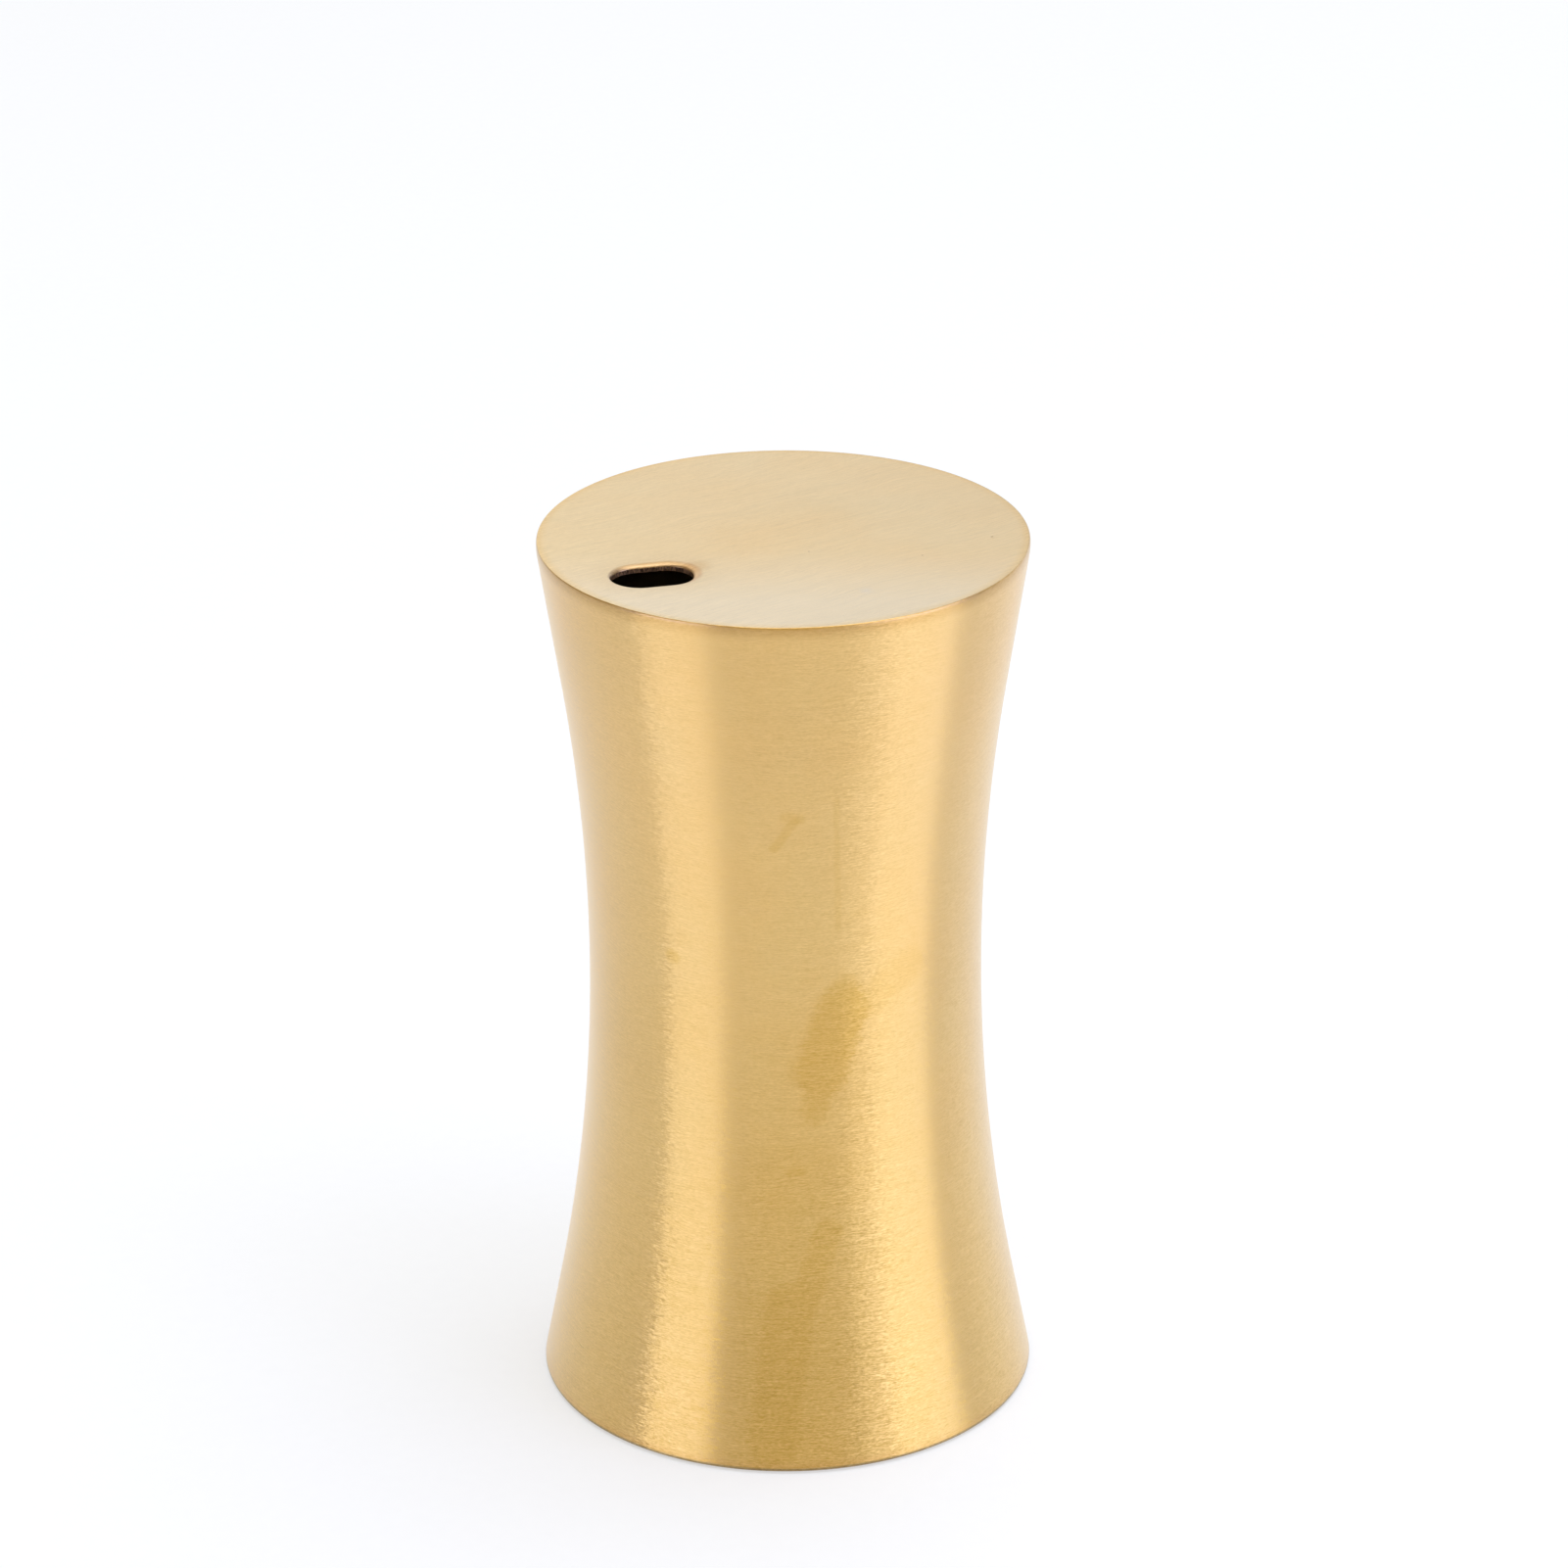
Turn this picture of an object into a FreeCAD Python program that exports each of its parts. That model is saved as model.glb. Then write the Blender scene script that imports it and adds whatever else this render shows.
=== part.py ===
import FreeCAD, Part
import math
import os

# Toothpick dispenser, in millimetres. Z = 0 is the table, +Z is up on the axis of the body,
# and +X runs along the pick slot's long side.

# Body shell: a sheet-metal tube that narrows to a waist, with straight flares at both ends
total_height = 84.2
top_radius = 22.5
foot_spread = 0.85
waist_depth = 4.2
waist_height = 43.1
top_flare_height = 13.8
foot_flare_height = 8.7
shell_wall = 0.7
foot_edge_chamfer = 0.2

# Top plate: a disc welded on the shell's upper rim, with the pick slot along X. The slot's centre
# lies slot_rim_distance inside the rim, slot_bearing degrees round from -X towards -Y.
plate_thickness = 0.7
plate_edge_chamfer = 0.25
slot_length = 7.5
slot_width = 5.1
slot_lip_rounding = 0.25
slot_rim_distance = 7.4
slot_bearing = 25.7

# Thread collar: a moulded ring inside the shell's foot, its thread drawn as a plain bore
collar_wall = 3.4
collar_bore_height = 5.4
collar_seat_gap = 0.05
collar_lead_in = 0.5
thread_clearance = 0.05

# Screw base: a flange and a hollow spigot with a floor, open below for the fingers
rim_lift = 0.2
flange_recess = 0.3
flange_thickness = 2.0
flange_gap = 0.3
flange_chamfer = 0.4
spigot_height = 6.1
spigot_wall = 1.6
spigot_lead_in = 0.6
floor_thickness = 1.5
pocket_chamfer = 1.0
grip_waist_width = 3.2
grip_end_width = 7.0
grip_recess = 0.8
grip_edge_rounding = 0.6

# Seal ring, between the flange and the collar
seal_thickness = 1.0
seal_width = 2.5
seal_side_gap = 0.3
seal_face_gap = 0.05

# Foot ring, in a groove under the flange
foot_ring_depth = 0.7
foot_ring_lip = 0.8
foot_ring_side_gap = 0.05
foot_ring_chamfer = 0.25

# One overrun for every cut that goes through
overrun = 1.0

# Levels and radii that follow from the sizes above
foot_radius = top_radius + foot_spread
waist_radius = top_radius - waist_depth
plate_bottom = total_height - plate_thickness
slot_centre_radius = top_radius - slot_rim_distance
slot_centre_x = -slot_centre_radius * math.cos(math.radians(slot_bearing))
slot_centre_y = -slot_centre_radius * math.sin(math.radians(slot_bearing))
flange_bottom = rim_lift + flange_recess
flange_top = flange_bottom + flange_thickness
seal_bottom = flange_top + seal_face_gap
collar_bottom = seal_bottom + seal_thickness + seal_face_gap
collar_top = collar_bottom + collar_bore_height
spigot_top = flange_top + spigot_height
pocket_top = spigot_top - floor_thickness


def flare_angle(spread, arc_height, flare_height):
    """Angle of a straight flare that starts tangent to an arc and ends spread outside the waist."""
    half_tangent = 0
    for _ in range(40):
        square = half_tangent ** 2
        lean = spread * (1 - square) + arc_height * half_tangent * square
        half_tangent = lean / (arc_height + 2 * flare_height)
    return 2 * math.atan(half_tangent)


top_arc_height = total_height - top_flare_height - waist_height
foot_arc_height = waist_height - foot_flare_height - rim_lift
top_angle = flare_angle(top_radius - waist_radius, top_arc_height, top_flare_height)
foot_angle = flare_angle(foot_radius - waist_radius, foot_arc_height, foot_flare_height)


def wall_radius(height, inset):
    """Radius of the wall at a height, measured inset below the outer surface."""
    if height >= waist_height:
        angle, arc_height, side = top_angle, top_arc_height, 1
    else:
        angle, arc_height, side = foot_angle, foot_arc_height, -1
    arc_radius = arc_height / math.sin(angle)
    rise = side * (height - waist_height)
    outer_arc = arc_radius + inset
    if rise <= outer_arc * math.sin(angle):
        return waist_radius + arc_radius - math.sqrt(outer_arc ** 2 - rise ** 2)
    arc_end = waist_radius + arc_radius - outer_arc * math.cos(angle)
    return arc_end + (rise - outer_arc * math.sin(angle)) * math.tan(angle)


def point(radius, height):
    return FreeCAD.Vector(radius, 0, height)


def wall_curve(low, high, inset):
    """Edges of the wall from low to high: flare, arc, arc, flare, at an inset below the outer surface."""
    top_arc_end = waist_height + (top_arc_height / math.sin(top_angle) + inset) * math.sin(top_angle)
    foot_arc_end = waist_height - (foot_arc_height / math.sin(foot_angle) + inset) * math.sin(foot_angle)
    ends = [low, foot_arc_end, waist_height, top_arc_end, high]
    points = [point(wall_radius(height, inset), height) for height in ends]
    edges = [Part.LineSegment(points[0], points[1]).toShape()]
    for start, end in ((1, 2), (2, 3)):
        middle = (ends[start] + ends[end]) / 2
        bulge = point(wall_radius(middle, inset), middle)
        edges.append(Part.Arc(points[start], bulge, points[end]).toBSpline().toShape())
    edges.append(Part.LineSegment(points[3], points[4]).toShape())
    return edges


def turned(edges):
    """Solid turned about Z from the edges of a closed outline."""
    outline = Part.Wire(Part.sortEdges(edges)[0])
    return Part.Face(outline).revolve(FreeCAD.Vector(0, 0, 0), FreeCAD.Vector(0, 0, 1), 360)


def revolved(outline):
    """Solid turned about Z from a closed outline of (radius, height) corners."""
    corners = [point(radius, height) for radius, height in outline]
    return turned(Part.makePolygon(corners + corners[:1]).Edges)


def ring_edges(solid, radius, height):
    """Circular edges of the solid at a radius and a height."""
    tolerance = shell_wall / 100
    found = []
    for edge in solid.Edges:
        if not isinstance(edge.Curve, Part.Circle):
            continue
        centre = edge.Curve.Center
        on_axis = math.hypot(centre.x, centre.y) < tolerance
        if on_axis and abs(centre.z - height) < tolerance and abs(edge.Curve.Radius - radius) < tolerance:
            found.append(edge)
    return found


def make_body_shell():
    outer = wall_curve(rim_lift, plate_bottom, 0)
    inner = wall_curve(rim_lift, plate_bottom, shell_wall)
    foot = Part.LineSegment(outer[0].Vertexes[0].Point, inner[0].Vertexes[0].Point).toShape()
    rim = Part.LineSegment(outer[-1].Vertexes[-1].Point, inner[-1].Vertexes[-1].Point).toShape()
    shell = turned(outer + inner + [foot, rim])
    return shell.makeChamfer(foot_edge_chamfer, ring_edges(shell, foot_radius, rim_lift))


def slot_outline(length, width, height):
    """Closed wire of a round-ended slot about the slot's centre."""
    half_run = (length - width) / 2
    half_width = width / 2
    places = [(half_run, -half_width), (length / 2, 0), (half_run, half_width),
              (-half_run, half_width), (-length / 2, 0), (-half_run, -half_width)]
    right_low, right_tip, right_high, left_high, left_tip, left_low = [
        FreeCAD.Vector(slot_centre_x + x, slot_centre_y + y, height) for x, y in places]
    return Part.Wire([
        Part.Arc(right_low, right_tip, right_high).toShape(),
        Part.LineSegment(right_high, left_high).toShape(),
        Part.Arc(left_high, left_tip, left_low).toShape(),
        Part.LineSegment(left_low, right_low).toShape()])


def make_top_plate():
    """Disc whose side carries on the flare of the shell, punched with the slot and rounded at its lip."""
    disc = revolved([(0, plate_bottom), (wall_radius(plate_bottom, 0), plate_bottom),
                     (top_radius, total_height), (0, total_height)])
    disc = disc.makeChamfer(plate_edge_chamfer, ring_edges(disc, top_radius, total_height))
    slot = Part.Face(slot_outline(slot_length, slot_width, plate_bottom - overrun))
    plate = disc.cut(slot.extrude(FreeCAD.Vector(0, 0, plate_thickness + 2 * overrun)))
    lip = []
    for edge in plate.Edges:
        box = edge.BoundBox
        near_slot = math.hypot(box.Center.x - slot_centre_x, box.Center.y - slot_centre_y) < slot_length
        if near_slot and box.ZMin > total_height - slot_lip_rounding:
            lip.append(edge)
    return plate.makeFillet(slot_lip_rounding, lip)


bore_radius = wall_radius(collar_bottom, shell_wall) - collar_wall
spigot_radius = bore_radius - thread_clearance
pocket_radius = spigot_radius - spigot_wall
flange_radius = wall_radius(flange_top, shell_wall) - flange_gap


def make_thread_collar():
    """Ring whose outside follows the shell's inner wall and whose top slopes in as a funnel."""
    seat = shell_wall + collar_seat_gap
    ledge = wall_radius(collar_top, seat) - bore_radius
    funnel_top = collar_top + ledge
    return revolved([
        (bore_radius + collar_lead_in, collar_bottom),
        (wall_radius(collar_bottom, seat), collar_bottom),
        (wall_radius(funnel_top, seat), funnel_top),
        (bore_radius, collar_top),
        (bore_radius, collar_bottom + collar_lead_in)])


def make_grip_bar():
    """Waisted bar across the finger pocket, from its recess up into the pocket's ceiling."""
    reach = pocket_radius + spigot_wall / 2
    bottom = flange_bottom + grip_recess
    corners = [FreeCAD.Vector(x, y, bottom) for x, y in (
        (-reach, grip_end_width / 2), (0, grip_waist_width / 2), (reach, grip_end_width / 2),
        (reach, -grip_end_width / 2), (0, -grip_waist_width / 2), (-reach, -grip_end_width / 2))]
    outline = Part.Wire([
        Part.Arc(corners[0], corners[1], corners[2]).toShape(),
        Part.LineSegment(corners[2], corners[3]).toShape(),
        Part.Arc(corners[3], corners[4], corners[5]).toShape(),
        Part.LineSegment(corners[5], corners[0]).toShape()])
    height = pocket_top + floor_thickness / 2 - bottom
    bar = Part.Face(outline).extrude(FreeCAD.Vector(0, 0, height))
    crest = [edge for edge in bar.Edges
             if edge.BoundBox.ZMax < bottom + grip_edge_rounding and isinstance(edge.Curve, Part.Circle)]
    bar = bar.makeFillet(grip_edge_rounding, crest)
    limit = Part.makeCylinder(reach, height, FreeCAD.Vector(0, 0, bottom))
    return bar.common(limit)


def make_screw_base():
    """Flange and spigot in one turned body, hollow below, with a groove for the foot ring."""
    body = revolved([
        (pocket_radius, flange_bottom),
        (flange_radius, flange_bottom),
        (flange_radius, flange_top),
        (spigot_radius, flange_top),
        (spigot_radius, spigot_top - spigot_lead_in),
        (spigot_radius - spigot_lead_in, spigot_top),
        (0, spigot_top),
        (0, pocket_top),
        (pocket_radius, pocket_top)])
    body = body.makeChamfer(flange_chamfer, ring_edges(body, flange_radius, flange_bottom)
                            + ring_edges(body, flange_radius, flange_top))
    body = body.makeChamfer(pocket_chamfer, ring_edges(body, pocket_radius, pocket_top))
    groove_top = flange_bottom + foot_ring_depth
    groove = revolved([
        (pocket_radius + foot_ring_lip, flange_bottom - overrun),
        (flange_radius - foot_ring_lip, flange_bottom - overrun),
        (flange_radius - foot_ring_lip, groove_top),
        (pocket_radius + foot_ring_lip, groove_top)])
    return body.cut(groove).fuse(make_grip_bar()).removeSplitter()


def make_seal_ring():
    inner = spigot_radius + seal_side_gap
    top = seal_bottom + seal_thickness
    outer = inner + seal_width
    return revolved([(inner, seal_bottom), (outer, seal_bottom), (outer, top), (inner, top)])


def make_foot_ring():
    inner = pocket_radius + foot_ring_lip + foot_ring_side_gap
    outer = flange_radius - foot_ring_lip - foot_ring_side_gap
    top = flange_bottom + foot_ring_depth
    ring = revolved([(inner, 0), (outer, 0), (outer, top), (inner, top)])
    return ring.makeChamfer(foot_ring_chamfer, ring_edges(ring, inner, 0) + ring_edges(ring, outer, 0))


def main():
    os.makedirs("parts", exist_ok=True)
    parts = {
        "body_shell": make_body_shell(),
        "top_plate": make_top_plate(),
        "thread_collar": make_thread_collar(),
        "screw_base": make_screw_base(),
        "seal_ring": make_seal_ring(),
        "foot_ring": make_foot_ring(),
    }
    for name, shape in parts.items():
        shape.exportStep("parts/" + name + ".step")
        print(name, len(shape.Solids), "solid", round(shape.Volume), "mm3")


main()
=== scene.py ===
import math

import bmesh
import bpy
from mathutils import Matrix, Vector
from mathutils.geometry import delaunay_2d_cdt


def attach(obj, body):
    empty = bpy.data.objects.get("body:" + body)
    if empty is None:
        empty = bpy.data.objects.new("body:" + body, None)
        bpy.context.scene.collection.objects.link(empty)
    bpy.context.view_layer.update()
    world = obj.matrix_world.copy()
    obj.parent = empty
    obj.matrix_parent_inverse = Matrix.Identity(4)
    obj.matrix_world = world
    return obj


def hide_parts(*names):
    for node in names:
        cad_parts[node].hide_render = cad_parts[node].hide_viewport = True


# Toothpick dispenser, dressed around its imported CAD. Shapes are worked out in millimetres, as in
# the CAD, and scaled to metres where a mesh is made.
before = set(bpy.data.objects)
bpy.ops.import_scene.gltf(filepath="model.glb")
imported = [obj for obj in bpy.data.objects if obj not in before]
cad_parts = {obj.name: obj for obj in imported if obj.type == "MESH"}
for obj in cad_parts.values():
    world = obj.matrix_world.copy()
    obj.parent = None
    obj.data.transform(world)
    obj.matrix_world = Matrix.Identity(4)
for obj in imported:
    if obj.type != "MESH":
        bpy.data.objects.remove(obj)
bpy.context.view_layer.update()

MM = 0.001
SEGMENTS = 360

# The CAD's sizes: body and top plate
TOTAL_HEIGHT = 84.2
TOP_RADIUS = 22.5
FOOT_RADIUS = 23.35
WAIST_RADIUS = 18.3
WAIST_HEIGHT = 43.1
TOP_FLARE_HEIGHT = 13.8
FOOT_FLARE_HEIGHT = 8.7
RIM_LIFT = 0.2
SHEET = 0.7
PLATE_BOTTOM = TOTAL_HEIGHT - SHEET

# The slot: its centre lies so far inside the rim, at a bearing from -X towards -Y
SLOT_LENGTH = 7.5
SLOT_WIDTH = 5.1
SLOT_RIM_DISTANCE = 7.4
SLOT_BEARING = math.radians(25.7)

# The collar, base, seal and foot ring
COLLAR_WALL = 3.4
COLLAR_BOTTOM = 3.6
COLLAR_TOP = 9.0
COLLAR_SEAT_GAP = 0.05
COLLAR_LEAD_IN = 0.5
THREAD_CLEARANCE = 0.05
SPIGOT_WALL = 1.6
SPIGOT_TOP = 8.6
SPIGOT_LEAD_IN = 0.6
FLANGE_GAP = 0.3
FLANGE_BOTTOM = 0.5
FLANGE_TOP = 2.5
FLANGE_CHAMFER = 0.4
POCKET_TOP = 7.1
POCKET_CHAMFER = 1.0
FOOT_GROOVE_TOP = 1.2
FOOT_GROOVE_MARGIN = 0.8
FOOT_SIDE_GAP = 0.05
SEAL_BOTTOM = 2.55
SEAL_TOP = 3.55
SEAL_WIDTH = 2.5
SEAL_GAP = 0.3

# What the dressed pieces add: rounded edges, and the thread that the CAD draws as a plain bore and spigot
RIM_ROLL_HEIGHT = 1.2
RIM_ROLL_DEPTH = 0.22
FOOT_ROUNDING = 0.2
LIP_REACH = 0.55
LIP_DEPTH = 0.3
LIP_LEAN = (0.34, 0.14)
THREAD_PITCH = 3.0
MALE_DEPTH = 0.65
FEMALE_DEPTH = 0.55


def flare_angle(spread, arc_height, flare_height):
    """Angle of a straight flare that starts tangent to an arc and ends spread outside the waist."""
    half_tangent = 0
    for _ in range(40):
        square = half_tangent ** 2
        lean = spread * (1 - square) + arc_height * half_tangent * square
        half_tangent = lean / (arc_height + 2 * flare_height)
    return 2 * math.atan(half_tangent)


TOP_ARC = TOTAL_HEIGHT - TOP_FLARE_HEIGHT - WAIST_HEIGHT
FOOT_ARC = WAIST_HEIGHT - FOOT_FLARE_HEIGHT - RIM_LIFT
TOP_ANGLE = flare_angle(TOP_RADIUS - WAIST_RADIUS, TOP_ARC, TOP_FLARE_HEIGHT)
FOOT_ANGLE = flare_angle(FOOT_RADIUS - WAIST_RADIUS, FOOT_ARC, FOOT_FLARE_HEIGHT)


def wall_radius(height, inset=0):
    """Radius of the body's wall at a height, measured inset below the outer surface."""
    if height >= WAIST_HEIGHT:
        angle, arc_height, side = TOP_ANGLE, TOP_ARC, 1
    else:
        angle, arc_height, side = FOOT_ANGLE, FOOT_ARC, -1
    arc_radius = arc_height / math.sin(angle)
    rise = side * (height - WAIST_HEIGHT)
    outer_arc = arc_radius + inset
    if rise <= outer_arc * math.sin(angle):
        return WAIST_RADIUS + arc_radius - math.sqrt(outer_arc ** 2 - rise ** 2)
    arc_end = WAIST_RADIUS + arc_radius - outer_arc * math.cos(angle)
    return arc_end + (rise - outer_arc * math.sin(angle)) * math.tan(angle)


BORE_RADIUS = wall_radius(COLLAR_BOTTOM, SHEET) - COLLAR_WALL
SPIGOT_RADIUS = BORE_RADIUS - THREAD_CLEARANCE
POCKET_RADIUS = SPIGOT_RADIUS - SPIGOT_WALL
FLANGE_RADIUS = wall_radius(FLANGE_TOP, SHEET) - FLANGE_GAP


def on_wall(bearing_deg, height):
    """Point on the body's outer surface at a bearing from +X and a height."""
    bearing, radius = math.radians(bearing_deg), wall_radius(height)
    return Vector((radius * math.cos(bearing), radius * math.sin(bearing), height))


def steps(start, end, count):
    """count + 1 evenly spaced numbers from start to end."""
    return [start + (end - start) * i / count for i in range(count + 1)]


def rim_roll():
    """(radius, height) points up the softened rim, from the straight wall to the flat top."""
    points = []
    for t in steps(0, math.pi / 2, 16):
        height = TOTAL_HEIGHT - RIM_ROLL_HEIGHT * (1 - math.sin(t))
        points.append((wall_radius(height) - RIM_ROLL_DEPTH * (1 - math.cos(t)), height))
    return points


def rounded(corners, arc_steps=5):
    """Outline through (radius, height, rounding) corners, each rounded by a short curve."""
    points = []
    for i, (x, y, rounding) in enumerate(corners):
        if rounding == 0:
            points.append((x, y))
            continue
        corner = Vector((x, y))
        before = (Vector(corners[i - 1][:2]) - corner).normalized()
        after = (Vector(corners[(i + 1) % len(corners)][:2]) - corner).normalized()
        half = before.angle(after) / 2
        reach = rounding / math.tan(half)
        centre = corner + (before + after).normalized() * rounding / math.sin(half)
        first, last = corner + before * reach - centre, corner + after * reach - centre
        for t in steps(0, -first.angle_signed(last), arc_steps):
            points.append(tuple(centre + Matrix.Rotation(t, 2) @ first))
    return points


def circle(radius, height, count=SEGMENTS, centre=(0, 0)):
    return [(centre[0] + radius * math.cos(t), centre[1] + radius * math.sin(t), height)
            for t in steps(0, 2 * math.pi, count)[:-1]]


def lathe(name, outline, on_axis=False, shape=None):
    """Mesh turned about Z from (radius, height) points: a closed outline, or one that ends on the axis.
    shape(radius, height, turn) changes the radius on the way round, where turn runs from 0 to 1."""
    vertices, faces, rings = [], [], []
    for radius, height in outline:
        if on_axis and radius == 0:
            rings.append([len(vertices)] * SEGMENTS)
            vertices.append((0, 0, height))
            continue
        rings.append(list(range(len(vertices), len(vertices) + SEGMENTS)))
        for i in range(SEGMENTS):
            r = shape(radius, height, i / SEGMENTS) if shape else radius
            angle = 2 * math.pi * i / SEGMENTS
            vertices.append((r * math.cos(angle), r * math.sin(angle), height))
    pairs = list(zip(rings, rings[1:])) + ([] if on_axis else [(rings[-1], rings[0])])
    for low, high in pairs:
        for i in range(SEGMENTS):
            j = (i + 1) % SEGMENTS
            corners = [low[i], low[j], high[j], high[i]]
            faces.append([v for k, v in enumerate(corners) if v != corners[k - 1]])
    return add_mesh(name, vertices, faces)


def add_mesh(name, vertices, faces):
    """Object with a smooth-shaded mesh from millimetre coordinates, its normals turned outwards."""
    mesh = bpy.data.meshes.new(name)
    mesh.from_pydata([tuple(c * MM for c in v) for v in vertices], [], faces)
    mesh.validate()
    obj = bpy.data.objects.new(name, mesh)
    bpy.context.scene.collection.objects.link(obj)
    tidy_mesh(mesh)
    return obj


def tidy_mesh(mesh, sharp_deg=32, merge_m=1e-7):
    """Joins points that coincide, turns the faces outwards and shades them smooth between sharp edges."""
    work = bmesh.new()
    work.from_mesh(mesh)
    bmesh.ops.remove_doubles(work, verts=work.verts, dist=merge_m)
    bmesh.ops.recalc_face_normals(work, faces=work.faces)
    work.to_mesh(mesh)
    work.free()
    mesh.shade_smooth()
    mesh.set_sharp_from_angle(angle=math.radians(sharp_deg))


def seat(obj, body, nodes, materials):
    """Gives a piece its materials and body, and hides the CAD nodes that it stands for."""
    for material in materials:
        obj.data.materials.append(material)
    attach(obj, body)
    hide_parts(*nodes)


# The camera, in millimetres to the right of, behind and above the object as the photograph sees it
CAMERA_TURN = math.radians(-13.74)
CAMERA_PITCH = math.radians(23.6487)
CAMERA_ROLL = math.radians(-0.3107)
CAMERA_PLACE = (-0.0493, -468.746, 264.923)
CAMERA_LENS = 127.325
SENSOR_WIDTH = 36


def from_camera_side(x, y, z):
    """Point in metres from millimetres to the right of, behind and above the object."""
    return Matrix.Rotation(CAMERA_TURN, 3, "Z") @ Vector((x, y, z)) * MM


def make_camera():
    data = bpy.data.cameras.new("camera")
    data.sensor_width = SENSOR_WIDTH
    data.lens = CAMERA_LENS
    data.clip_start = 0.01
    camera = bpy.data.objects.new("camera", data)
    bpy.context.scene.collection.objects.link(camera)
    level = Matrix.Rotation(math.pi / 2 - CAMERA_PITCH, 4, "X") @ Matrix.Rotation(CAMERA_ROLL, 4, "Z")
    turn = Matrix.Rotation(CAMERA_TURN, 4, "Z")
    camera.matrix_world = Matrix.Translation(from_camera_side(*CAMERA_PLACE)) @ turn @ level
    bpy.context.scene.camera = camera


def rgb(red, green, blue):
    return (red, green, blue, 1.0)


# Grain of the raggedness that breaks up the edge of a mark
RAGGED_SIZE = (0.8, 0.8, 0.4)


class Nodes:
    """A node tree, emptied, with short calls for the nodes that the finishes and the world are made of."""

    def __init__(self, owner, place):
        owner.use_nodes = True
        self.tree = owner.node_tree
        self.tree.nodes.clear()
        self.place = self.add("TexCoord").outputs[place]

    def add(self, kind, inputs=None, **settings):
        node = self.tree.nodes.new("ShaderNode" + kind)
        for key, value in settings.items():
            setattr(node, key, value)
        for key, value in (inputs or {}).items():
            self.connect(node.inputs[key], value)
        return node

    def connect(self, socket, value):
        if isinstance(value, bpy.types.NodeSocket):
            self.tree.links.new(value, socket)
        else:
            socket.default_value = value

    def math(self, operation, a, b=0.0):
        return self.add("Math", {0: a, 1: b}, operation=operation).outputs[0]

    def vector(self, operation, a, b=(0, 0, 0)):
        return self.add("VectorMath", {0: a, 1: b}, operation=operation).outputs[0]

    def scaled(self, vector, amount):
        return self.add("VectorMath", {0: vector, "Scale": amount}, operation="SCALE").outputs[0]

    def measure(self, operation, a, b=(0, 0, 0)):
        """Number that a vector operation gives, such as a dot product or a distance."""
        return self.add("VectorMath", {0: a, 1: b}, operation=operation).outputs["Value"]

    def noise(self, grain_mm, detail=2.0, place=None, rough=0.5, seed=0.0):
        """Noise of about 0 to 1 whose grain is so many millimetres in X, Y and Z."""
        at = self.vector("MULTIPLY", place or self.place, tuple(1 / (g * MM) for g in grain_mm))
        at = self.vector("ADD", at, (seed, seed * 0.7, seed * 1.3))
        inputs = {"Vector": at, "Scale": 1.0, "Detail": detail, "Roughness": rough}
        return self.add("TexNoise", inputs).outputs[0]

    def ramp(self, value, low, high, out_low=0.0, out_high=1.0, **settings):
        inputs = {0: value, 1: low, 2: high, 3: out_low, 4: out_high}
        return self.add("MapRange", inputs, **settings).outputs[0]

    def swing(self, parts):
        """Sum of noises, each turned into a swing of its own size either side of nothing."""
        total = 0.0
        for value, size in parts:
            total = self.math("ADD", total, self.ramp(value, 0, 1, -size, size))
        return total

    def mix(self, factor, a, b):
        node = self.add("Mix", data_type="RGBA")
        for socket, value in (("Factor_Float", factor), ("A_Color", a), ("B_Color", b)):
            self.connect(next(i for i in node.inputs if i.identifier == socket), value)
        return next(o for o in node.outputs if o.identifier == "Result_Color")

    def bump(self, height, distance_mm):
        return self.add("Bump", {"Height": height, "Distance": distance_mm * MM, "Strength": 1.0}).outputs[0]

    def streak(self, start, end, half_width, core=0.0, broken=0.0):
        """1 within core of a line between two points in millimetres, fading to 0 at half_width from it."""
        start, end = Vector(start) * MM, Vector(end) * MM
        run = end - start
        away = self.vector("SUBTRACT", self.place, tuple(start))
        share = self.math("DIVIDE", self.measure("DOT_PRODUCT", away, tuple(run)), run.length_squared)
        nearest = self.scaled(tuple(run), self.ramp(share, 0, 1))
        distance = self.measure("DISTANCE", away, nearest)
        if broken:
            ragged = self.noise(RAGGED_SIZE, 3.0, None, 0.6, 23.0)
            distance = self.math("ADD", distance, self.ramp(ragged, 0, 1, -broken * MM, broken * MM))
        return self.ramp(distance, half_width * MM, core * MM, interpolation_type="SMOOTHSTEP")


class Material(Nodes):
    """The nodes of a new material, read at places on the piece."""

    def __init__(self, name):
        self.material = bpy.data.materials.new(name)
        super().__init__(self.material, "Object")

    def finish(self, inputs):
        shader = self.add("BsdfPrincipled", inputs)
        self.add("OutputMaterial", {"Surface": shader.outputs[0]})
        return self.material


# Satin gold. Its strokes, each a length and a width, add to or take from the colour and lean the normal.
STROKE_BUMP = 0.004
STROKE_TINT = (0.80, 0.66, 0.42)
STROKE_SIZES = ((0.40, 0.09), (1.5, 0.09), (8.0, 0.12))
BAND_SIZE = (16.0, 0.7)
BAND_ROUGHNESS = 0.03
PATCH_SIZE = (22, 22, 30)
PATCH_ROUGHNESS = 0.02


def strokes(m, place, is_along):
    """Noises of fine, short and long brush strokes, and of broad bands, for the axes that run along them."""
    return [m.noise(tuple(length if along else width for along in is_along), 2.0, place, 0.6, 5.0 * i)
            for i, (length, width) in enumerate(STROKE_SIZES + (BAND_SIZE,))]


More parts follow.
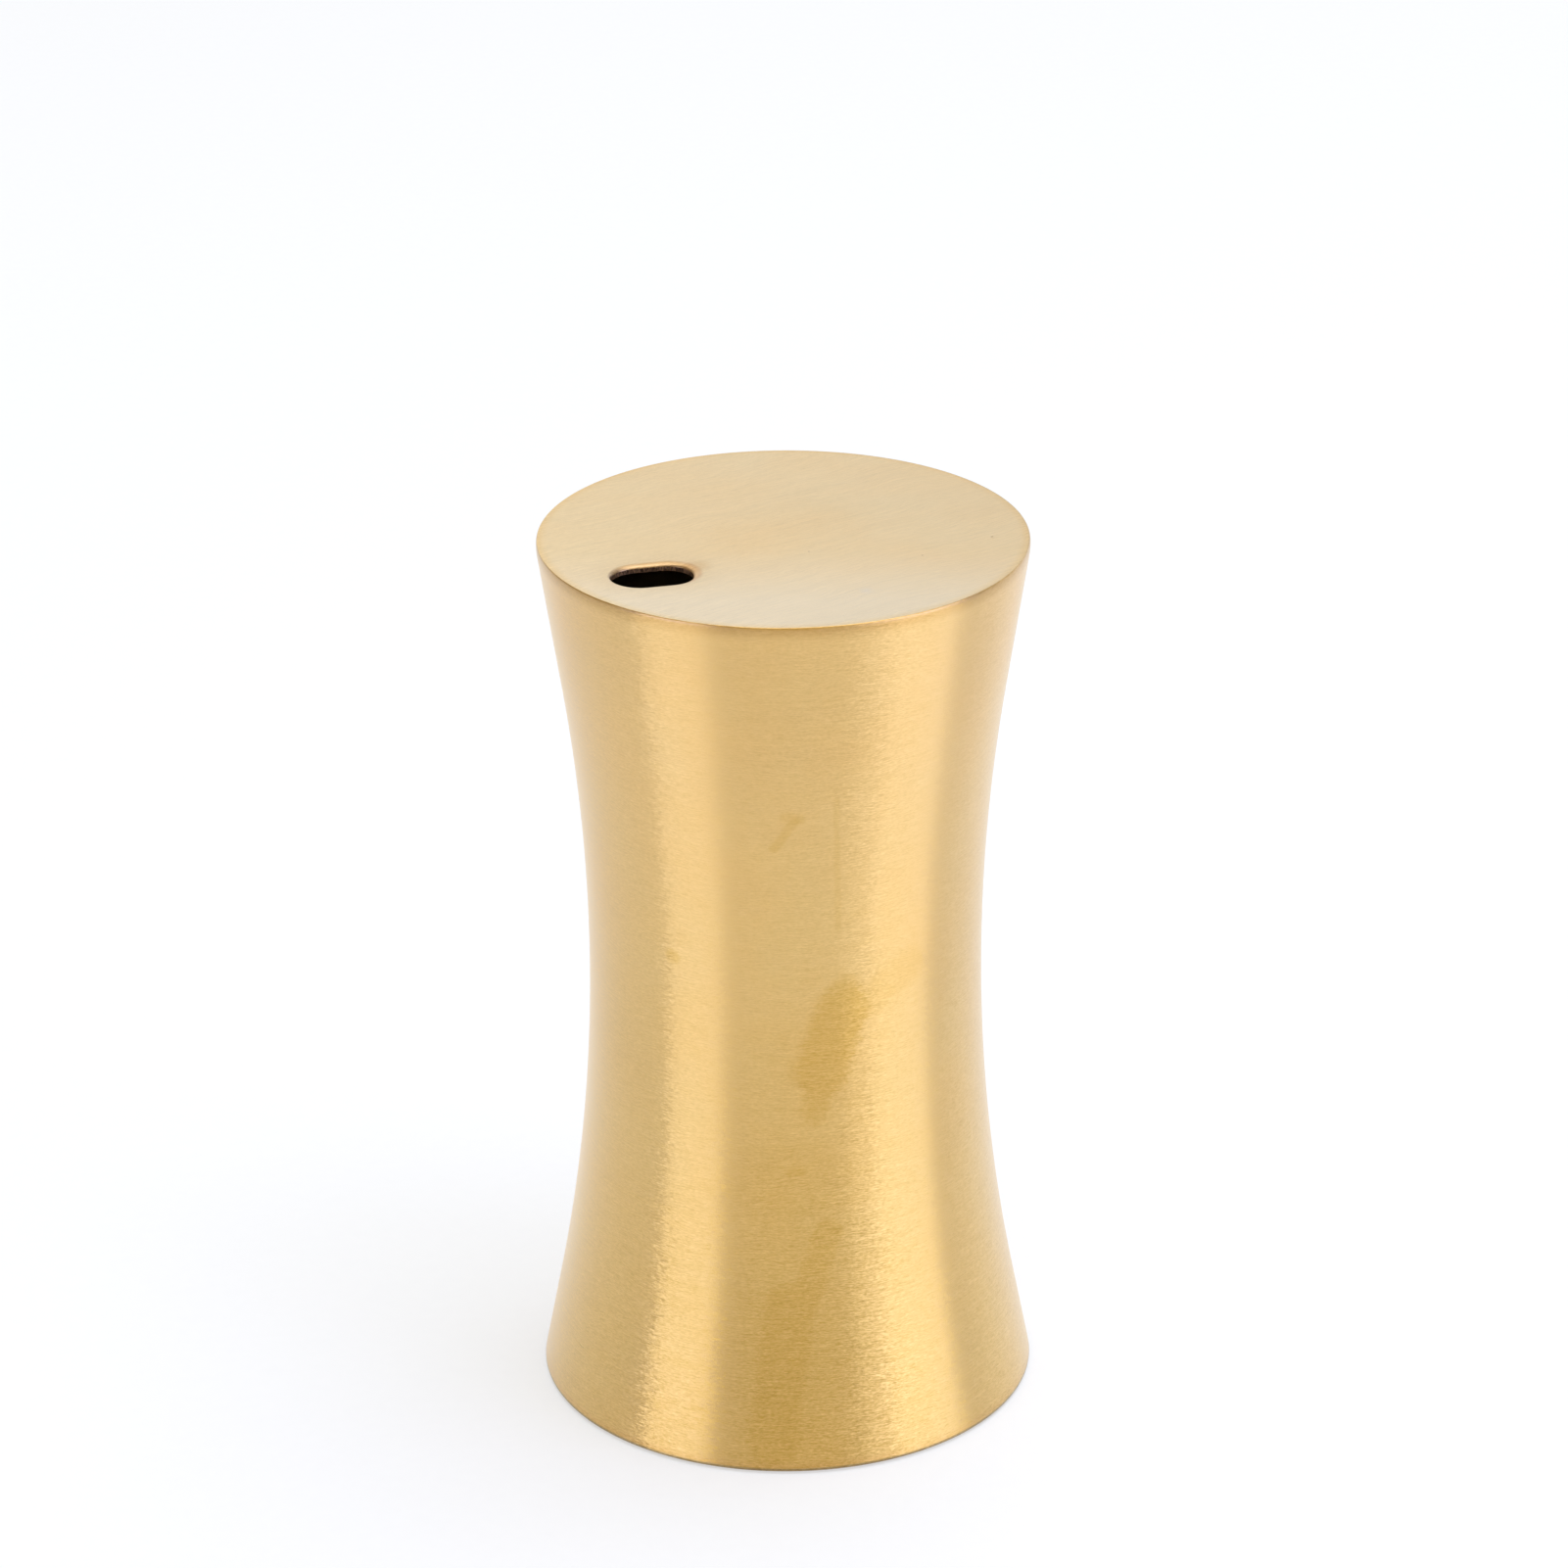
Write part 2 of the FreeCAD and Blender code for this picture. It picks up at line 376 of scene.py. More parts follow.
def satin_gold(m, colour, tangent, noises, streaks, tilts, wear, rough, coat):
    """Brushed gold whose strokes run along the tangent, paler or deeper by streaks and leaning by tilts."""
    patches = m.noise(PATCH_SIZE, 2.0, None, 0.5, 17.0)
    depth = m.math("MULTIPLY", m.swing(zip(noises, streaks)), wear)
    colour = m.vector("ADD", colour, m.scaled(STROKE_TINT, depth))
    lean = m.scaled(tangent, m.swing(zip(noises, tilts)))
    normal = m.vector("ADD", m.add("NewGeometry").outputs["Normal"], lean)
    bump = m.add("Bump", {"Height": noises[1], "Distance": STROKE_BUMP * MM, "Strength": 1.0,
                          "Normal": m.vector("NORMALIZE", normal)}).outputs[0]
    changes = ((noises[-1], BAND_ROUGHNESS), (patches, PATCH_ROUGHNESS))
    roughness = m.math("ADD", rough, m.swing(changes))
    return m.finish({"Base Color": colour, "Metallic": 1.0, "Roughness": roughness,
                     "Anisotropic": 1.0, "Anisotropic Rotation": 0.25, "Tangent": tangent, "Normal": bump,
                     "Coat Weight": coat, "Coat Roughness": 0.35, "Coat IOR": 1.8,
                     "Sheen Weight": 0.08, "Sheen Roughness": 0.4})


def patina(m, colour, warm, shade):
    """Colour that clouds over towards a warm tone and, in larger patches, a shaded one."""
    clouds = m.noise((9, 9, 12), 3.0, None, 0.5, 11.0)
    patches = m.noise((18, 18, 24), 2.0, None, 0.5, 29.0)
    mixed = m.mix(m.ramp(clouds, 0.35, 0.7), rgb(*colour), rgb(*warm))
    return m.mix(m.ramp(patches, 0.5, 0.75, 0, 0.5), mixed, rgb(*shade))


def tinted(m, colour, mask, tint, strength=1.0):
    """Colour that is multiplied by a tint where the mask is 1."""
    if strength != 1.0:
        mask = m.math("MULTIPLY", mask, strength)
    return m.mix(mask, colour, m.vector("MULTIPLY", colour, tint))


# The body's gold: its own tone, the warm and shaded ones that cloud it, and the deeper one towards the foot,
# which is painted shade
SIDE_GOLD = ((0.865, 0.565, 0.165), (0.885, 0.555, 0.148), (0.795, 0.495, 0.12))
FOOT_SHADE_GOLD = (0.69, 0.43, 0.052)
FOOT_SHADE_FADE = (70, 10)
# Painted shade: two heights between which a darker tint sets in, under the rim, above the foot's edge and on
# that edge
SIDE_SHADE_TINTS = ((TOTAL_HEIGHT - 1.6, TOTAL_HEIGHT - 0.1, (0.80, 0.73, 0.48)),
              (1.4, 0.6, (0.95, 0.90, 0.82)), (0.62, 0.42, (0.42, 0.46, 0.6)))
SIDE_WANDER = 1.0
SIDE_STREAKS = (0.22, 0.15, 0.06, 0.03)
SIDE_TILTS = (0.15, 0.08, 0.02)

# Stains on the body: two ends as bearing and height, half width in millimetres, strength, and the share of
# the half width over which the edge fades. The widest ones are painted shade that deepens the tone of the
# foot's front.
STAIN_AND_SHADE_TINT = (0.88, 0.81, 0.35)
STAINS_AND_SHADE = (((-93.9, 38.9), (-88.1, 44.7), 3.3, 1.0, 0.5),
          ((-95.7, 34.9), (-93.4, 39.2), 1.9, 0.7, 0.7),
          ((-88.6, 44.0), (-86.8, 47.0), 2.2, 0.7, 0.7),
          ((-90.0, 44.0), (-66.0, 48.0), 2.4, 0.3, 0.6),
          ((-101.2, 64.6), (-106.5, 61.8), 0.6, 0.5, 0.6),
          ((-100.0, 64.8), (-103.2, 64.9), 0.8, 0.4, 0.6),
          ((-90.3, 66.5), (-89.0, 53.5), 0.4, 0.25, 0.6),
          ((-102.6, 29.1), (-99.8, 29.1), 0.6, 0.7, 0.6),
          # Painted shade: the three widest, at the foot's front
          ((-102.0, 38.0), (-102.5, 30.0), 8.5, 0.2, 0.6),
          ((-102.0, 26.0), (-103.5, 3.0), 8.5, 0.4, 0.6),
          ((-103.5, 10.0), (-103.5, 3.0), 11.0, 0.3, 0.6),
          ((-92.5, 23.0), (-99.2, 16.4), 1.7, 0.8, 0.4),
          ((-103.2, 16.0), (-107.1, 3.0), 2.8, 0.9, 0.35),
          ((-138.0, 49.5), (-137.0, 49.4), 0.9, 0.6, 0.6),
          ((55.0, 52.0), (74.0, 60.0), 2.8, 0.8, 0.6),
          ((150.0, 20.0), (161.0, 31.0), 3.2, 0.8, 0.6),
          ((96.0, 30.0), (93.0, 18.0), 0.6, 0.6, 0.6),
          ((12.0, 66.0), (21.0, 63.0), 1.0, 0.7, 0.6))


def brushed_side():
    m = Material("brushed_side")
    wander = m.ramp(m.noise((14, 14, 14), 2.0, None, 0.5, 3.0), 0, 1, -SIDE_WANDER * MM, SIDE_WANDER * MM)
    place = m.vector("ADD", m.place, m.scaled((0, 0, 1), wander))
    colour = patina(m, *SIDE_GOLD)
    height = m.add("SeparateXYZ", {0: m.place}).outputs["Z"]
    # Painted shade: the gold deepens towards the foot
    deeper = m.ramp(height, FOOT_SHADE_FADE[0] * MM, FOOT_SHADE_FADE[1] * MM, 0, 0.5)
    colour = m.mix(deeper, colour, rgb(*FOOT_SHADE_GOLD))
    # Painted shade under the rim and along the foot's edge
    for start, end, tint in SIDE_SHADE_TINTS:
        band = m.ramp(height, start * MM, end * MM, interpolation_type="SMOOTHSTEP")
        colour = tinted(m, colour, band, tint)
    # The stains and the painted shade at the foot's front share this tint
    stained_and_shaded = m.vector("MULTIPLY", colour, STAIN_AND_SHADE_TINT)
    for start, end, half_width, strength, soft in STAINS_AND_SHADE:
        core, broken = (1 - soft) * half_width, min(0.8 * soft * half_width, 1.0)
        mark = m.streak(on_wall(*start), on_wall(*end), half_width, core, broken)
        colour = m.mix(m.math("MULTIPLY", mark, strength), colour, stained_and_shaded)
    tangent = m.add("Tangent", direction_type="RADIAL", axis="Z").outputs[0]
    wear = m.ramp(height, 45 * MM, 5 * MM, 0.85, 1.35)
    rough = m.ramp(height, 75 * MM, 10 * MM, 0.36, 0.295)
    return satin_gold(m, colour, tangent, strokes(m, place, (True, True, False)),
                      SIDE_STREAKS, SIDE_TILTS, wear, rough, 1.0)


# The top's gold: its own tones as for the body but paler, which is painted light; the paler one of its near
# part, painted light on the side facing the camera; and the tint of its rim, painted shade
# Painted light: the same metal as the body, written paler and less saturated for the bright light the top
# reflects
TOP_GOLD = ((0.725, 0.54, 0.262), (0.74, 0.53, 0.24), (0.70, 0.505, 0.23))
TOP_PAINTED_LIGHT_GOLD = (0.735, 0.595, 0.37)
TOP_RIM_SHADE_TINT = (0.98, 0.91, 0.72)
TOP_WANDER = 1.6
TOP_STREAKS = (0.15, 0.15, 0.11, 0.03)
TOP_TILTS = (0.09, 0.06, 0.03)
# Pits left in the top by handling: where, their radius and depth
PITS = ((18.22, -5.04, 0.13, 0.06), (1.30, -4.41, 0.10, 0.04), (10.92, -7.91, 0.09, 0.04))
TOP_BRUSHING = math.radians(20)
SMUDGE = (3.82, -14.92, TOTAL_HEIGHT)
TAN_CLOUD = ((-2.0, 1.0, TOTAL_HEIGHT), (5.0, 4.0, TOTAL_HEIGHT))
SLOT_END_SPOT = (-9.3, -5.3, TOTAL_HEIGHT)
TAN_TINT = (0.99, 0.95, 0.86)
HALO_TINT = (0.95, 0.93, 0.88)
LIP_REFLECTION_TINT = (0.78, 0.66, 0.54)
SLOT_END_TINT = (0.88, 0.78, 0.60)
SMUDGE_COLOUR = (0.62, 0.55, 0.44)
PIT_SHADE_COLOUR = (0.22, 0.12, 0.05)


def brushed_top():
    m = Material("brushed_top")
    wander = m.ramp(m.noise((10, 10, 10), 2.0, None, 0.5, 3.0), 0, 1, -TOP_WANDER * MM, TOP_WANDER * MM)
    turn_back = {"Vector": m.place, "Angle": -TOP_BRUSHING}
    place = m.add("VectorRotate", turn_back, rotation_type="Z_AXIS").outputs[0]
    place = m.vector("ADD", place, m.scaled((0, 1, 0), wander))
    colour = patina(m, *TOP_GOLD)
    # Painted light: the near part of the top, on the side facing the camera, is paler, as if it reflected
    # more light
    front = m.measure("DOT_PRODUCT", m.place, tuple(from_camera_side(0, -1, 0) / MM))
    colour = m.mix(m.ramp(front, 4 * MM, 16 * MM), colour, rgb(*TOP_PAINTED_LIGHT_GOLD))
    radius = m.measure("LENGTH", m.vector("MULTIPLY", m.place, (1, 1, 0)))
    # Painted shade: the top darkens towards its rounded rim
    rim = m.ramp(radius, 21.3 * MM, 22.3 * MM, interpolation_type="SMOOTHSTEP")
    colour = tinted(m, colour, rim, TOP_RIM_SHADE_TINT)
    colour = tinted(m, colour, m.streak(*TAN_CLOUD, 7.0, 0.0, 3.0), TAN_TINT, 0.8)
    ends = [end + Vector(LIP_LEAN).to_3d() for end in slot_ends()]
    half = SLOT_WIDTH / 2
    colour = tinted(m, colour, m.streak(*ends, half + 3.0, half), HALO_TINT)
    # Painted reflection: the slot's lip is tinted warmer and darker, for the warm light it reflects
    colour = tinted(m, colour, m.streak(*ends, half + LIP_REACH + 0.1, half + 0.2), LIP_REFLECTION_TINT)
    # A browner, darker patch beside the slot's +X end
    colour = tinted(m, colour, m.streak(SLOT_END_SPOT, SLOT_END_SPOT, 1.7, 0.6, 0.5), SLOT_END_TINT, 0.7)
    smudge = m.math("MULTIPLY", m.streak(SMUDGE, SMUDGE, 0.9, 0.0, 0.4), 0.5)
    colour = m.mix(smudge, colour, rgb(*SMUDGE_COLOUR))
    direction = (math.cos(TOP_BRUSHING), math.sin(TOP_BRUSHING), 0)
    tangent = m.add("VectorTransform", {"Vector": direction}, vector_type="VECTOR",
                    convert_from="OBJECT", convert_to="WORLD").outputs[0]
    # Painted shade: a dark spot in each pit
    for x, y, pit_radius, _ in PITS:
        at = (x, y, TOTAL_HEIGHT)
        colour = m.mix(m.streak(at, at, 1.6 * pit_radius), colour, rgb(*PIT_SHADE_COLOUR))
    return satin_gold(m, colour, tangent, strokes(m, place, (True, False, True)),
                      TOP_STREAKS, TOP_TILTS, 1.0, 0.35, 0.5)


def punched_steel():
    m = Material("punched_edge")
    tear = m.noise((0.16, 0.16, 0.6), 4.0, None, 0.6)
    colour = m.mix(m.ramp(tear, 0.45, 0.7), rgb(0.15, 0.085, 0.045), rgb(0.85, 0.55, 0.28))
    return m.finish({"Base Color": colour, "Metallic": 1.0, "Roughness": m.ramp(tear, 0, 1, 0.4, 0.65),
                     "Normal": m.bump(tear, 0.12)})


def bare_inside():
    m = Material("bare_inside")
    cloud = m.noise((5, 5, 2), 3.0)
    colour = m.mix(m.ramp(cloud, 0.3, 0.7), rgb(0.62, 0.52, 0.39), rgb(0.76, 0.65, 0.48))
    return m.finish({"Base Color": colour, "Metallic": 1.0, "Roughness": m.ramp(cloud, 0, 1, 0.45, 0.6),
                     "Normal": m.bump(m.noise((4, 4, 0.3), 2.0), 0.01)})


# The black parts and the seal are written a little warm, against the softboxes' blue
def moulded_black():
    m = Material("moulded_black")
    grain = m.noise((0.12, 0.12, 0.12), 3.0)
    cloud = m.noise((4, 4, 4), 2.0, None, 0.5, 4.0)
    colour = m.mix(m.ramp(cloud, 0.3, 0.7), rgb(0.046, 0.042, 0.034), rgb(0.064, 0.059, 0.05))
    return m.finish({"Base Color": colour, "Roughness": m.ramp(grain, 0, 1, 0.42, 0.6),
                     "Specular IOR Level": 0.35, "Normal": m.bump(grain, 0.015)})


def seal_silicone():
    m = Material("seal_silicone")
    cloud = m.noise((2, 2, 2), 2.0)
    colour = m.mix(m.ramp(cloud, 0.3, 0.7), rgb(0.72, 0.69, 0.58), rgb(0.80, 0.77, 0.66))
    return m.finish({"Base Color": colour, "Roughness": m.ramp(cloud, 0, 1, 0.35, 0.5),
                     "Subsurface Weight": 0.2, "Subsurface Radius": (MM, MM, MM),
                     "Normal": m.bump(m.noise((0.3, 0.3, 0.3), 2.0), 0.006)})


def foot_rubber():
    m = Material("foot_rubber")
    grain = m.noise((0.2, 0.2, 0.2), 4.0)
    colour = m.mix(m.ramp(grain, 0.3, 0.7), rgb(0.038, 0.035, 0.03), rgb(0.058, 0.054, 0.047))
    return m.finish({"Base Color": colour, "Roughness": m.ramp(grain, 0, 1, 0.65, 0.85),
                     "Normal": m.bump(grain, 0.03)})


def seam_point():
    """Where the rim's roll crosses the joint between shell and top plate."""
    points = rim_roll()
    above = next(i for i, p in enumerate(points) if p[1] > PLATE_BOTTOM)
    (r0, z0), (r1, z1) = points[above - 1:above + 1]
    return (r0 + (r1 - r0) * (PLATE_BOTTOM - z0) / (z1 - z0), PLATE_BOTTOM)


def make_shell(side, inside_metal):
    low = RIM_LIFT + 2 * FOOT_ROUNDING
    roll = [(r, z, 0) for r, z in rim_roll() if z < PLATE_BOTTOM]
    outer = [(wall_radius(z), z, 0) for z in steps(low, roll[0][1], 90)[:-1]] + roll + [seam_point() + (0,)]
    inner = [(wall_radius(z, SHEET), z, 0) for z in steps(PLATE_BOTTOM, low, 40)]
    corners = [(wall_radius(RIM_LIFT), RIM_LIFT, FOOT_ROUNDING)] + outer + inner
    corners.append((wall_radius(RIM_LIFT, SHEET), RIM_LIFT, FOOT_ROUNDING))
    shell = lathe("brushed_body", rounded(corners))
    seat(shell, "shell", ["body_shell"], [side, inside_metal])
    for face in shell.data.polygons:
        centre = face.center / MM
        face.material_index = int(centre.xy.length < wall_radius(centre.z) - SHEET / 2)


def slot_ends():
    """Centres of the slot's two round ends, -X first, on the top face."""
    centre_radius, run = TOP_RADIUS - SLOT_RIM_DISTANCE, (SLOT_LENGTH - SLOT_WIDTH) / 2
    x, y = -centre_radius * math.cos(SLOT_BEARING), -centre_radius * math.sin(SLOT_BEARING)
    return [Vector((x + side * run, y, TOTAL_HEIGHT)) for side in (-1, 1)]


def slot_ring(height, grow=0, lean=0, arc_count=28, run_count=4):
    """Points round the slot, anticlockwise, so many millimetres outside its outline, moved by a lean."""
    left, right = [end.xy + lean * Vector(LIP_LEAN) for end in slot_ends()]
    radius = SLOT_WIDTH / 2 + grow
    ring = []
    for near, far, start in ((right, left, -math.pi / 2), (left, right, math.pi / 2)):
        ring += [(near.x + radius * math.cos(t), near.y + radius * math.sin(t), height)
                 for t in steps(start, start + math.pi, arc_count)]
        side = math.copysign(radius, -start)
        ring += [(x, near.y + side, height) for x in steps(near.x, far.x, run_count)[1:-1]]
    return ring


def is_within(point, loop):
    crossings = 0
    for a, b in zip(loop, loop[1:] + loop[:1]):
        if (a.y > point.y) != (b.y > point.y):
            crossings += point.x < a.x + (point.y - a.y) * (b.x - a.x) / (b.y - a.y)
    return crossings % 2 == 1


class Sheet:
    """Vertices and faces collected ring by ring, each face with the number of its material."""

    def __init__(self):
        self.vertices, self.faces, self.kinds = [], [], []

    def ring(self, points):
        first = len(self.vertices)
        self.vertices += points
        return list(range(first, first + len(points)))

    def face(self, corners, kind):
        self.faces.append(corners)
        self.kinds.append(kind)

    def bands(self, rings, kind):
        for a, b in zip(rings, rings[1:]):
            for i, before in enumerate(a):
                j = (i + 1) % len(a)
                self.face([before, a[j], b[j], b[i]], kind)

    def fill(self, outer, holes, kind):
        """Flat face from an outer ring in to the rings round its holes."""
        loops = [outer] + holes
        ids = [i for loop in loops for i in loop]
        flat = [Vector(self.vertices[i][:2]) for i in ids]
        edges, hole_loops, first = [], [], 0
        for loop in loops:
            edges += [(first + i, first + (i + 1) % len(loop)) for i in range(len(loop))]
            hole_loops.append(flat[first:first + len(loop)])
            first += len(loop)
        places, _, triangles = delaunay_2d_cdt(flat, edges, [], 0, 1e-7)[:3]
        lookup = {(round(v.x, 5), round(v.y, 5)): i for v, i in zip(flat, ids)}
        for triangle in triangles:
            centre = sum((places[i] for i in triangle), Vector((0, 0))) / 3
            if is_within(centre, hole_loops[0]) and not any(is_within(centre, h) for h in hole_loops[1:]):
                self.face([lookup[round(places[i].x, 5), round(places[i].y, 5)] for i in triangle], kind)


# Flat strip beside a curved edge, which keeps its shading off the wide flat faces
GUARD = 0.15


def make_pit(sheet, x, y, radius, depth):
    """Dimple in the top sheet. Returns the flat ring round it."""
    profile = ((radius + GUARD, 0), (radius, 0), (0.7 * radius, 0.5 * depth), (0.3 * radius, depth))
    rings = [sheet.ring(circle(r, TOTAL_HEIGHT - sink, 12, (x, y))) for r, sink in profile]
    sheet.bands(rings, 1)
    sheet.face(rings[-1], 1)
    return rings[0]


def make_plate(side, top, edge, under):
    sheet = Sheet()
    outline = [seam_point()] + [p for p in rim_roll() if p[1] > PLATE_BOTTOM]
    rim = [sheet.ring(circle(r, z)) for r, z in outline]
    sheet.bands(rim, 0)
    guard = sheet.ring(circle(outline[-1][0] - GUARD, TOTAL_HEIGHT))
    sheet.bands([rim[-1], guard], 1)
    lip_guard = sheet.ring(slot_ring(TOTAL_HEIGHT, LIP_REACH + GUARD, 1))
    lip = []
    for t in steps(0, math.pi / 2, 10):
        out, drop = 1 - math.sin(t), LIP_DEPTH * (1 - math.cos(t))
        lip.append(sheet.ring(slot_ring(TOTAL_HEIGHT - drop, LIP_REACH * out, out)))
    sheet.bands([lip_guard] + lip, 1)
    walls = [sheet.ring(slot_ring(z)) for z in steps(TOTAL_HEIGHT - LIP_DEPTH, PLATE_BOTTOM, 3)[1:]]
    sheet.bands([lip[-1]] + walls, 2)
    sheet.fill(guard, [lip_guard] + [make_pit(sheet, *pit) for pit in PITS], 1)
    sheet.fill(rim[0], [walls[-1]], 3)
    plate = add_mesh("brushed_top", sheet.vertices, sheet.faces)
    seat(plate, "shell", ["top_plate"], [side, top, edge, under])
    plate.data.polygons.foreach_set("material_index", sheet.kinds)


# The thread's section, as shares of its pitch, and the heights over which it starts and ends
RIDGE_HALF = 0.13
GROOVE_HALF = 0.18
THREAD_FLANK = 0.1
RIDGE_START = 0.9
RIDGE_END = 0.5
GROOVE_GAP = 0.3
GROOVE_START = 0.5


def thread_share(height, turn, half_width):
    """How deep the thread is at a place, from 0 to 1, for a groove or ridge of a half width in turns."""
    away = abs((height / THREAD_PITCH - turn) % 1 - 0.5)
    return min(max((half_width + THREAD_FLANK - away) / THREAD_FLANK, 0), 1)


def make_collar(plastic):
    def ridged(radius, height, turn):
        if radius > BORE_RADIUS + COLLAR_LEAD_IN:
            return radius
        fade = max(min((height - COLLAR_BOTTOM) / RIDGE_START, (COLLAR_TOP - height) / RIDGE_END, 1), 0)
        return min(radius, BORE_RADIUS - FEMALE_DEPTH * fade * thread_share(height, turn, RIDGE_HALF))

    gap = SHEET + COLLAR_SEAT_GAP
    funnel_top = COLLAR_TOP + wall_radius(COLLAR_TOP, gap) - BORE_RADIUS
    bore = [(BORE_RADIUS, z, 0) for z in steps(COLLAR_TOP, COLLAR_BOTTOM + COLLAR_LEAD_IN, 49)]
    corners = bore + [(BORE_RADIUS + COLLAR_LEAD_IN, COLLAR_BOTTOM, 0),
                      (wall_radius(COLLAR_BOTTOM, gap), COLLAR_BOTTOM, 0.15),
                      (wall_radius(funnel_top, gap), funnel_top, 0.1)]
    collar = lathe("thread_collar_dressed", rounded(corners), shape=ridged)
    seat(collar, "shell", ["thread_collar"], [plastic])


def make_base(plastic):
    def grooved(radius, height, turn):
        fade = min(max((height - FLANGE_TOP - GROOVE_GAP) / GROOVE_START, 0), 1)
        if fade == 0 or radius < SPIGOT_RADIUS - SPIGOT_LEAD_IN:
            return radius
        return min(radius, SPIGOT_RADIUS - MALE_DEPTH * fade * thread_share(height, turn, GROOVE_HALF))

    groove_out, groove_in = FLANGE_RADIUS - FOOT_GROOVE_MARGIN, POCKET_RADIUS + FOOT_GROOVE_MARGIN
    lead = [(SPIGOT_RADIUS - SPIGOT_LEAD_IN * (1 - t), SPIGOT_TOP - SPIGOT_LEAD_IN * t, 0)
            for t in steps(0, 1, 6)[:-1]]
    spigot = [(SPIGOT_RADIUS, z, 0) for z in steps(SPIGOT_TOP - SPIGOT_LEAD_IN, FLANGE_TOP, 55)]
    corners = [(0, SPIGOT_TOP, 0)] + lead + spigot + [
        (FLANGE_RADIUS, FLANGE_TOP, FLANGE_CHAMFER), (FLANGE_RADIUS, FLANGE_BOTTOM, FLANGE_CHAMFER),
        (groove_out, FLANGE_BOTTOM, 0.12), (groove_out, FOOT_GROOVE_TOP, 0), (groove_in, FOOT_GROOVE_TOP, 0),
        (groove_in, FLANGE_BOTTOM, 0.12), (POCKET_RADIUS, FLANGE_BOTTOM, 0.2),
        (POCKET_RADIUS, POCKET_TOP, POCKET_CHAMFER), (0, POCKET_TOP, 0)]
    base = lathe("screw_base_dressed", rounded(corners), on_axis=True, shape=grooved)
    bar = make_grip_bar()
    join = base.modifiers.new("grip_bar", "BOOLEAN")
    join.operation, join.solver, join.object = "UNION", "EXACT", bar
    bpy.context.view_layer.update()
    joined = bpy.data.meshes.new_from_object(base.evaluated_get(bpy.context.evaluated_depsgraph_get()))
    base.modifiers.clear()
    base.data = joined
    bpy.data.objects.remove(bar)
    tidy_mesh(base.data)
    seat(base, "base", ["screw_base"], [plastic])


# The grip bar across the base's pocket, 3.2 mm thick in the middle and 7 mm at its ends
GRIP_REACH = 17.3
GRIP_HALF = 1.6
GRIP_FLARE = 1.9
GRIP_BOTTOM = FLANGE_BOTTOM + 0.8
GRIP_ROOT = POCKET_TOP + 0.75
GRIP_ROUNDING = 0.6


def make_grip_bar(count=48):
    """Waisted bar with its lower edges rounded, from its recess up into the pocket's ceiling."""
    sheet = Sheet()
    sections = []
    for x in steps(-GRIP_REACH, GRIP_REACH, count):
        half = GRIP_HALF + GRIP_FLARE * (x / GRIP_REACH) ** 2
        curve = [(half - GRIP_ROUNDING * (1 - math.cos(t)), GRIP_BOTTOM + GRIP_ROUNDING * (1 - math.sin(t)))
                 for t in steps(0, math.pi / 2, 6)]
        section = [(half, GRIP_ROOT)] + curve
        section += [(-y, z) for y, z in reversed(section)]
        sections.append(sheet.ring([(x, y, z) for y, z in section]))
    sheet.bands(sections, 0)
    sheet.face(sections[0], 0)
    sheet.face(sections[-1], 0)
    return add_mesh("grip_bar", sheet.vertices, sheet.faces)


def make_seal(silicone):
    inner = SPIGOT_RADIUS + SEAL_GAP
    corners = [(r, z, 0.3) for r, z in ((inner, SEAL_BOTTOM), (inner + SEAL_WIDTH, SEAL_BOTTOM),
                                        (inner + SEAL_WIDTH, SEAL_TOP), (inner, SEAL_TOP))]
    seal = lathe("seal_ring_dressed", rounded(corners))
    seat(seal, "seal", ["seal_ring"], [silicone])


def make_foot(rubber):
    margin = FOOT_GROOVE_MARGIN + FOOT_SIDE_GAP
    inner, outer = POCKET_RADIUS + margin, FLANGE_RADIUS - margin
    corners = [(inner, 0, 0.25), (outer, 0, 0.25),
               (outer, FOOT_GROOVE_TOP, 0.05), (inner, FOOT_GROOVE_TOP, 0.05)]
    foot = lathe("foot_ring_dressed", rounded(corners))
    seat(foot, "base", ["foot_ring"], [rubber])


# The studio. Each softbox: degrees to the right of the camera seen from the object, height of its middle,
# width, length and power. They are blue, which whitens the bright bands on the gold.
SOFTBOXES = (("left_softbox", -51, 140, 530, 280, 1.32), ("right_softbox", 66.5, 180, 600, 360, 2.0),
             ("right_edge", 42, 180, 230, 360, 0.28))
SOFTBOX_COLOUR = (0.91, 1.0, 1.8)
SOFTBOX_DISTANCE = 900
CEILING_PLACE = (250, 0, 1400)
CEILING_SIZE = 1200
CEILING_POWER = 12.6
CEILING_COLOUR = (0.94, 1.0, 1.14)
AIM_HEIGHT = 45
WORLD_FRONT = (0.22, 0.14, 0.03)
WORLD_SIDE = (0.09, 0.055, 0.02)
WORLD_ABOVE = (0.56, 0.50, 0.40)
WORLD_BACK = (0.93, 0.98, 1.08)
WORLD_TURN = math.radians(12)
FLOOR_REACH = 3000
FLOOR_GLOW = 0.5


